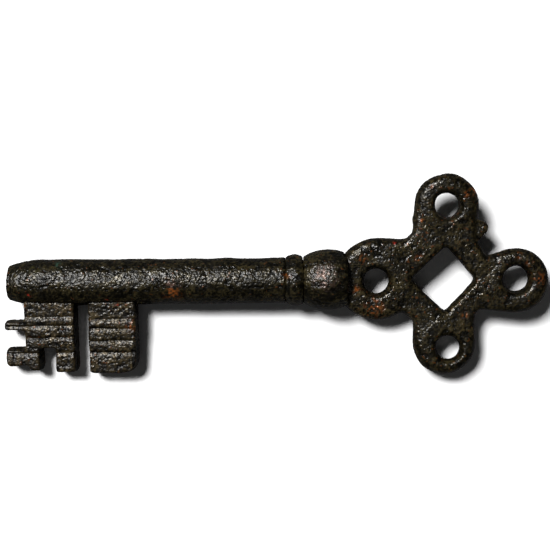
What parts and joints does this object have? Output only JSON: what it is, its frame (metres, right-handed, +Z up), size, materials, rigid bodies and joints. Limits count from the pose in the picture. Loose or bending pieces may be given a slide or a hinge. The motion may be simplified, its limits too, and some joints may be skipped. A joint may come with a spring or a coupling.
{
  "type": "door key",
  "caption": "Old bronze door key: hollow round shank, ribbed cut bit, collar and bulb, and a pierced lobed bow round a lozenge opening.",
  "frame": {"origin": "middle of the underside of the key's bounding box, on the table it lies on", "axes": "+X from the tip along the shank to the bow, +Z up from the table, the bit hangs towards -Y"},
  "size_m": [0.1356, 0.0496, 0.0153],
  "materials": {
    "bow_bronze": "old cast bronze, nearly black olive-brown patina, pitted and glossy with rust-coloured specks",
    "shank_bronze": "old cast bronze, olive-brown patina, worn glossy along the barrel",
    "bit_bronze": "old cast bronze, brown patina, rough rib crests"
  },
  "bodies": {
    "root": {"bow": "bow_bronze", "knop": "shank_bronze", "collar": "shank_bronze", "barrel": "shank_bronze", "bit_rear": "bit_bronze", "bit_front": "bit_bronze"}
  },
  "joints": []
}
